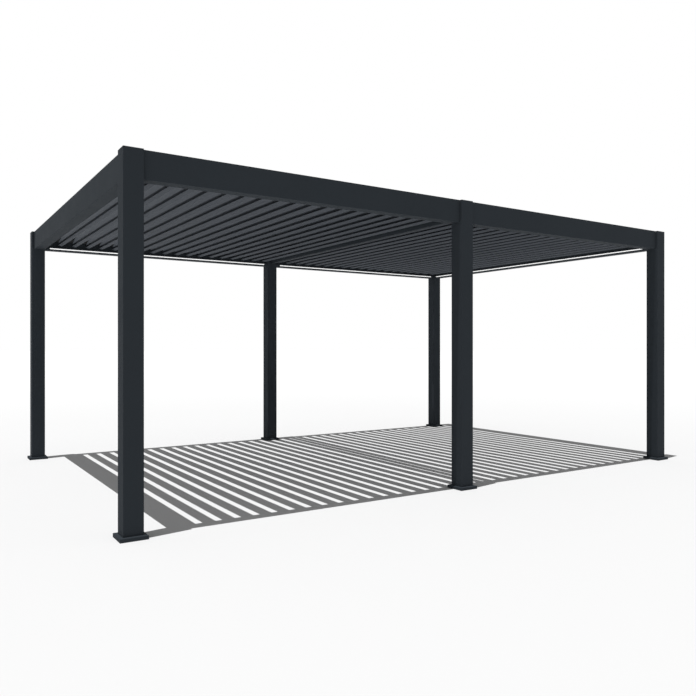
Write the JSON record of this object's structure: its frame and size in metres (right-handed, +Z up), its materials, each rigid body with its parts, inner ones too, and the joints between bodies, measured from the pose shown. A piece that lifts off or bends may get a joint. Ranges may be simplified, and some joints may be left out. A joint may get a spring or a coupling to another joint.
{
  "type": "louvered pergola",
  "caption": "Free-standing flat-roofed pergola on square posts, with a roof of tilting louver blades and light strips under the beams.",
  "frame": {"origin": "on the ground at the centre of the footprint", "axes": "+X along the long front side to the viewer's right, +Y from the front to the back, +Z up"},
  "size_m": [5.894, 3.928, 2.5164],
  "materials": {
    "frame_coating": "satin powder coat",
    "louver_coating": "satin powder coat",
    "light_diffuser": "opal diffuser",
    "bearing_plastic": "moulded"
  },
  "bodies": {
    "frame": {"front_left_post": "frame_coating", "front_middle_post": "frame_coating", "front_right_post": "frame_coating", "back_left_post": "frame_coating", "back_middle_post": "frame_coating", "back_right_post": "frame_coating", "front_left_base_plate": "frame_coating", "front_middle_base_plate": "frame_coating", "front_right_base_plate": "frame_coating", "back_left_base_plate": "frame_coating", "back_middle_base_plate": "frame_coating", "back_right_base_plate": "frame_coating", "front_left_beam": "frame_coating", "front_right_beam": "frame_coating", "back_left_beam": "frame_coating", "back_right_beam": "frame_coating", "left_side_beam": "frame_coating", "right_side_beam": "frame_coating", "middle_rafter": "frame_coating", "post_caps": "frame_coating", "light_strips": "light_diffuser", "louver_bearings": "bearing_plastic"},
    "left_bay_louver_01": {"left_bay_louver_01": "louver_coating"},
    "left_bay_louver_02": {"left_bay_louver_02": "louver_coating"},
    "left_bay_louver_03": {"left_bay_louver_03": "louver_coating"},
    "left_bay_louver_04": {"left_bay_louver_04": "louver_coating"},
    "left_bay_louver_05": {"left_bay_louver_05": "louver_coating"},
    "left_bay_louver_06": {"left_bay_louver_06": "louver_coating"},
    "left_bay_louver_07": {"left_bay_louver_07": "louver_coating"},
    "left_bay_louver_08": {"left_bay_louver_08": "louver_coating"},
    "left_bay_louver_09": {"left_bay_louver_09": "louver_coating"},
    "left_bay_louver_10": {"left_bay_louver_10": "louver_coating"},
    "left_bay_louver_11": {"left_bay_louver_11": "louver_coating"},
    "left_bay_louver_12": {"left_bay_louver_12": "louver_coating"},
    "left_bay_louver_13": {"left_bay_louver_13": "louver_coating"},
    "left_bay_louver_14": {"left_bay_louver_14": "louver_coating"},
    "left_bay_louver_15": {"left_bay_louver_15": "louver_coating"},
    "left_bay_louver_16": {"left_bay_louver_16": "louver_coating"},
    "left_bay_louver_17": {"left_bay_louver_17": "louver_coating"},
    "left_bay_louver_18": {"left_bay_louver_18": "louver_coating"},
    "left_bay_louver_19": {"left_bay_louver_19": "louver_coating"},
    "right_bay_louver_01": {"right_bay_louver_01": "louver_coating"},
    "right_bay_louver_02": {"right_bay_louver_02": "louver_coating"},
    "right_bay_louver_03": {"right_bay_louver_03": "louver_coating"},
    "right_bay_louver_04": {"right_bay_louver_04": "louver_coating"},
    "right_bay_louver_05": {"right_bay_louver_05": "louver_coating"},
    "right_bay_louver_06": {"right_bay_louver_06": "louver_coating"},
    "right_bay_louver_07": {"right_bay_louver_07": "louver_coating"},
    "right_bay_louver_08": {"right_bay_louver_08": "louver_coating"},
    "right_bay_louver_09": {"right_bay_louver_09": "louver_coating"},
    "right_bay_louver_10": {"right_bay_louver_10": "louver_coating"},
    "right_bay_louver_11": {"right_bay_louver_11": "louver_coating"},
    "right_bay_louver_12": {"right_bay_louver_12": "louver_coating"},
    "right_bay_louver_13": {"right_bay_louver_13": "louver_coating"},
    "right_bay_louver_14": {"right_bay_louver_14": "louver_coating"},
    "right_bay_louver_15": {"right_bay_louver_15": "louver_coating"},
    "right_bay_louver_16": {"right_bay_louver_16": "louver_coating"},
    "right_bay_louver_17": {"right_bay_louver_17": "louver_coating"},
    "right_bay_louver_18": {"right_bay_louver_18": "louver_coating"},
    "right_bay_louver_19": {"right_bay_louver_19": "louver_coating"}
  },
  "joints": [
    {"name": "left_bay_louvers_tilt", "type": "hinge", "parent": "frame", "child": "left_bay_louver_01", "pos_m": [-2.756, 0, 2.431], "axis": [0, -1, 0], "range_deg": [-67, 23]},
    {"name": "left_bay_louver_02_tilt", "type": "hinge", "parent": "frame", "child": "left_bay_louver_02", "pos_m": [-2.609, 0, 2.431], "axis": [0, -1, 0], "range_deg": [-67, 23]},
    {"name": "left_bay_louver_03_tilt", "type": "hinge", "parent": "frame", "child": "left_bay_louver_03", "pos_m": [-2.462, 0, 2.431], "axis": [0, -1, 0], "range_deg": [-67, 23]},
    {"name": "left_bay_louver_04_tilt", "type": "hinge", "parent": "frame", "child": "left_bay_louver_04", "pos_m": [-2.315, 0, 2.431], "axis": [0, -1, 0], "range_deg": [-67, 23]},
    {"name": "left_bay_louver_05_tilt", "type": "hinge", "parent": "frame", "child": "left_bay_louver_05", "pos_m": [-2.168, 0, 2.431], "axis": [0, -1, 0], "range_deg": [-67, 23]},
    {"name": "left_bay_louver_06_tilt", "type": "hinge", "parent": "frame", "child": "left_bay_louver_06", "pos_m": [-2.021, 0, 2.431], "axis": [0, -1, 0], "range_deg": [-67, 23]},
    {"name": "left_bay_louver_07_tilt", "type": "hinge", "parent": "frame", "child": "left_bay_louver_07", "pos_m": [-1.874, 0, 2.431], "axis": [0, -1, 0], "range_deg": [-67, 23]},
    {"name": "left_bay_louver_08_tilt", "type": "hinge", "parent": "frame", "child": "left_bay_louver_08", "pos_m": [-1.727, 0, 2.431], "axis": [0, -1, 0], "range_deg": [-67, 23]},
    {"name": "left_bay_louver_09_tilt", "type": "hinge", "parent": "frame", "child": "left_bay_louver_09", "pos_m": [-1.58, 0, 2.431], "axis": [0, -1, 0], "range_deg": [-67, 23]},
    {"name": "left_bay_louver_10_tilt", "type": "hinge", "parent": "frame", "child": "left_bay_louver_10", "pos_m": [-1.433, 0, 2.431], "axis": [0, -1, 0], "range_deg": [-67, 23]},
    {"name": "left_bay_louver_11_tilt", "type": "hinge", "parent": "frame", "child": "left_bay_louver_11", "pos_m": [-1.286, 0, 2.431], "axis": [0, -1, 0], "range_deg": [-67, 23]},
    {"name": "left_bay_louver_12_tilt", "type": "hinge", "parent": "frame", "child": "left_bay_louver_12", "pos_m": [-1.139, 0, 2.431], "axis": [0, -1, 0], "range_deg": [-67, 23]},
    {"name": "left_bay_louver_13_tilt", "type": "hinge", "parent": "frame", "child": "left_bay_louver_13", "pos_m": [-0.992, 0, 2.431], "axis": [0, -1, 0], "range_deg": [-67, 23]},
    {"name": "left_bay_louver_14_tilt", "type": "hinge", "parent": "frame", "child": "left_bay_louver_14", "pos_m": [-0.845, 0, 2.431], "axis": [0, -1, 0], "range_deg": [-67, 23]},
    {"name": "left_bay_louver_15_tilt", "type": "hinge", "parent": "frame", "child": "left_bay_louver_15", "pos_m": [-0.698, 0, 2.431], "axis": [0, -1, 0], "range_deg": [-67, 23]},
    {"name": "left_bay_louver_16_tilt", "type": "hinge", "parent": "frame", "child": "left_bay_louver_16", "pos_m": [-0.551, 0, 2.431], "axis": [0, -1, 0], "range_deg": [-67, 23]},
    {"name": "left_bay_louver_17_tilt", "type": "hinge", "parent": "frame", "child": "left_bay_louver_17", "pos_m": [-0.404, 0, 2.431], "axis": [0, -1, 0], "range_deg": [-67, 23]},
    {"name": "left_bay_louver_18_tilt", "type": "hinge", "parent": "frame", "child": "left_bay_louver_18", "pos_m": [-0.257, 0, 2.431], "axis": [0, -1, 0], "range_deg": [-67, 23]},
    {"name": "left_bay_louver_19_tilt", "type": "hinge", "parent": "frame", "child": "left_bay_louver_19", "pos_m": [-0.11, 0, 2.431], "axis": [0, -1, 0], "range_deg": [-67, 23]},
    {"name": "right_bay_louvers_tilt", "type": "hinge", "parent": "frame", "child": "right_bay_louver_01", "pos_m": [0.101, 0, 2.431], "axis": [0, -1, 0], "range_deg": [-67, 23]},
    {"name": "right_bay_louver_02_tilt", "type": "hinge", "parent": "frame", "child": "right_bay_louver_02", "pos_m": [0.248, 0, 2.431], "axis": [0, -1, 0], "range_deg": [-67, 23]},
    {"name": "right_bay_louver_03_tilt", "type": "hinge", "parent": "frame", "child": "right_bay_louver_03", "pos_m": [0.395, 0, 2.431], "axis": [0, -1, 0], "range_deg": [-67, 23]},
    {"name": "right_bay_louver_04_tilt", "type": "hinge", "parent": "frame", "child": "right_bay_louver_04", "pos_m": [0.542, 0, 2.431], "axis": [0, -1, 0], "range_deg": [-67, 23]},
    {"name": "right_bay_louver_05_tilt", "type": "hinge", "parent": "frame", "child": "right_bay_louver_05", "pos_m": [0.689, 0, 2.431], "axis": [0, -1, 0], "range_deg": [-67, 23]},
    {"name": "right_bay_louver_06_tilt", "type": "hinge", "parent": "frame", "child": "right_bay_louver_06", "pos_m": [0.836, 0, 2.431], "axis": [0, -1, 0], "range_deg": [-67, 23]},
    {"name": "right_bay_louver_07_tilt", "type": "hinge", "parent": "frame", "child": "right_bay_louver_07", "pos_m": [0.983, 0, 2.431], "axis": [0, -1, 0], "range_deg": [-67, 23]},
    {"name": "right_bay_louver_08_tilt", "type": "hinge", "parent": "frame", "child": "right_bay_louver_08", "pos_m": [1.13, 0, 2.431], "axis": [0, -1, 0], "range_deg": [-67, 23]},
    {"name": "right_bay_louver_09_tilt", "type": "hinge", "parent": "frame", "child": "right_bay_louver_09", "pos_m": [1.277, 0, 2.431], "axis": [0, -1, 0], "range_deg": [-67, 23]},
    {"name": "right_bay_louver_10_tilt", "type": "hinge", "parent": "frame", "child": "right_bay_louver_10", "pos_m": [1.424, 0, 2.431], "axis": [0, -1, 0], "range_deg": [-67, 23]},
    {"name": "right_bay_louver_11_tilt", "type": "hinge", "parent": "frame", "child": "right_bay_louver_11", "pos_m": [1.571, 0, 2.431], "axis": [0, -1, 0], "range_deg": [-67, 23]},
    {"name": "right_bay_louver_12_tilt", "type": "hinge", "parent": "frame", "child": "right_bay_louver_12", "pos_m": [1.718, 0, 2.431], "axis": [0, -1, 0], "range_deg": [-67, 23]},
    {"name": "right_bay_louver_13_tilt", "type": "hinge", "parent": "frame", "child": "right_bay_louver_13", "pos_m": [1.865, 0, 2.431], "axis": [0, -1, 0], "range_deg": [-67, 23]},
    {"name": "right_bay_louver_14_tilt", "type": "hinge", "parent": "frame", "child": "right_bay_louver_14", "pos_m": [2.012, 0, 2.431], "axis": [0, -1, 0], "range_deg": [-67, 23]},
    {"name": "right_bay_louver_15_tilt", "type": "hinge", "parent": "frame", "child": "right_bay_louver_15", "pos_m": [2.159, 0, 2.431], "axis": [0, -1, 0], "range_deg": [-67, 23]},
    {"name": "right_bay_louver_16_tilt", "type": "hinge", "parent": "frame", "child": "right_bay_louver_16", "pos_m": [2.306, 0, 2.431], "axis": [0, -1, 0], "range_deg": [-67, 23]},
    {"name": "right_bay_louver_17_tilt", "type": "hinge", "parent": "frame", "child": "right_bay_louver_17", "pos_m": [2.453, 0, 2.431], "axis": [0, -1, 0], "range_deg": [-67, 23]},
    {"name": "right_bay_louver_18_tilt", "type": "hinge", "parent": "frame", "child": "right_bay_louver_18", "pos_m": [2.6, 0, 2.431], "axis": [0, -1, 0], "range_deg": [-67, 23]},
    {"name": "right_bay_louver_19_tilt", "type": "hinge", "parent": "frame", "child": "right_bay_louver_19", "pos_m": [2.747, 0, 2.431], "axis": [0, -1, 0], "range_deg": [-67, 23]}
  ],
  "couplings": [
    {"joint": "left_bay_louver_02_tilt", "follows": "left_bay_louvers_tilt", "ratio": 1},
    {"joint": "left_bay_louver_03_tilt", "follows": "left_bay_louvers_tilt", "ratio": 1},
    {"joint": "left_bay_louver_04_tilt", "follows": "left_bay_louvers_tilt", "ratio": 1},
    {"joint": "left_bay_louver_05_tilt", "follows": "left_bay_louvers_tilt", "ratio": 1},
    {"joint": "left_bay_louver_06_tilt", "follows": "left_bay_louvers_tilt", "ratio": 1},
    {"joint": "left_bay_louver_07_tilt", "follows": "left_bay_louvers_tilt", "ratio": 1},
    {"joint": "left_bay_louver_08_tilt", "follows": "left_bay_louvers_tilt", "ratio": 1},
    {"joint": "left_bay_louver_09_tilt", "follows": "left_bay_louvers_tilt", "ratio": 1},
    {"joint": "left_bay_louver_10_tilt", "follows": "left_bay_louvers_tilt", "ratio": 1},
    {"joint": "left_bay_louver_11_tilt", "follows": "left_bay_louvers_tilt", "ratio": 1},
    {"joint": "left_bay_louver_12_tilt", "follows": "left_bay_louvers_tilt", "ratio": 1},
    {"joint": "left_bay_louver_13_tilt", "follows": "left_bay_louvers_tilt", "ratio": 1},
    {"joint": "left_bay_louver_14_tilt", "follows": "left_bay_louvers_tilt", "ratio": 1},
    {"joint": "left_bay_louver_15_tilt", "follows": "left_bay_louvers_tilt", "ratio": 1},
    {"joint": "left_bay_louver_16_tilt", "follows": "left_bay_louvers_tilt", "ratio": 1},
    {"joint": "left_bay_louver_17_tilt", "follows": "left_bay_louvers_tilt", "ratio": 1},
    {"joint": "left_bay_louver_18_tilt", "follows": "left_bay_louvers_tilt", "ratio": 1},
    {"joint": "left_bay_louver_19_tilt", "follows": "left_bay_louvers_tilt", "ratio": 1},
    {"joint": "right_bay_louver_02_tilt", "follows": "right_bay_louvers_tilt", "ratio": 1},
    {"joint": "right_bay_louver_03_tilt", "follows": "right_bay_louvers_tilt", "ratio": 1},
    {"joint": "right_bay_louver_04_tilt", "follows": "right_bay_louvers_tilt", "ratio": 1},
    {"joint": "right_bay_louver_05_tilt", "follows": "right_bay_louvers_tilt", "ratio": 1},
    {"joint": "right_bay_louver_06_tilt", "follows": "right_bay_louvers_tilt", "ratio": 1},
    {"joint": "right_bay_louver_07_tilt", "follows": "right_bay_louvers_tilt", "ratio": 1},
    {"joint": "right_bay_louver_08_tilt", "follows": "right_bay_louvers_tilt", "ratio": 1},
    {"joint": "right_bay_louver_09_tilt", "follows": "right_bay_louvers_tilt", "ratio": 1},
    {"joint": "right_bay_louver_10_tilt", "follows": "right_bay_louvers_tilt", "ratio": 1},
    {"joint": "right_bay_louver_11_tilt", "follows": "right_bay_louvers_tilt", "ratio": 1},
    {"joint": "right_bay_louver_12_tilt", "follows": "right_bay_louvers_tilt", "ratio": 1},
    {"joint": "right_bay_louver_13_tilt", "follows": "right_bay_louvers_tilt", "ratio": 1},
    {"joint": "right_bay_louver_14_tilt", "follows": "right_bay_louvers_tilt", "ratio": 1},
    {"joint": "right_bay_louver_15_tilt", "follows": "right_bay_louvers_tilt", "ratio": 1},
    {"joint": "right_bay_louver_16_tilt", "follows": "right_bay_louvers_tilt", "ratio": 1},
    {"joint": "right_bay_louver_17_tilt", "follows": "right_bay_louvers_tilt", "ratio": 1},
    {"joint": "right_bay_louver_18_tilt", "follows": "right_bay_louvers_tilt", "ratio": 1},
    {"joint": "right_bay_louver_19_tilt", "follows": "right_bay_louvers_tilt", "ratio": 1}
  ]
}
